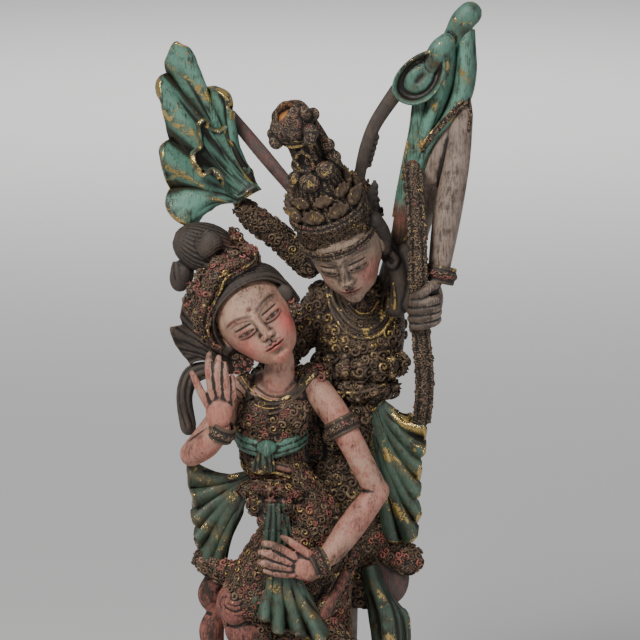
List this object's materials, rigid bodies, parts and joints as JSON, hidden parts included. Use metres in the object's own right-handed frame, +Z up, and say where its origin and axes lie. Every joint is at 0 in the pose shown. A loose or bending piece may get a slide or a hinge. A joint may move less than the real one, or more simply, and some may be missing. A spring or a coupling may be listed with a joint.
{
  "type": "rama and sita statue",
  "caption": "Carved wooden statue of Rama with raised arm and bow behind a leaning Sita, with flying scarves, on a low oval base.",
  "frame": {"origin": "middle of the flat underside of the base", "axes": "+Z up, the figures face -Y, +X towards the raised arm (the viewer's right)"},
  "size_m": [0.3179, 0.22, 0.8978],
  "materials": {
    "painted_wood": "satin, worn polychrome paint and gilding over dark wood"
  },
  "bodies": {
    "root": {"rama_and_sita": "painted_wood"}
  },
  "joints": []
}
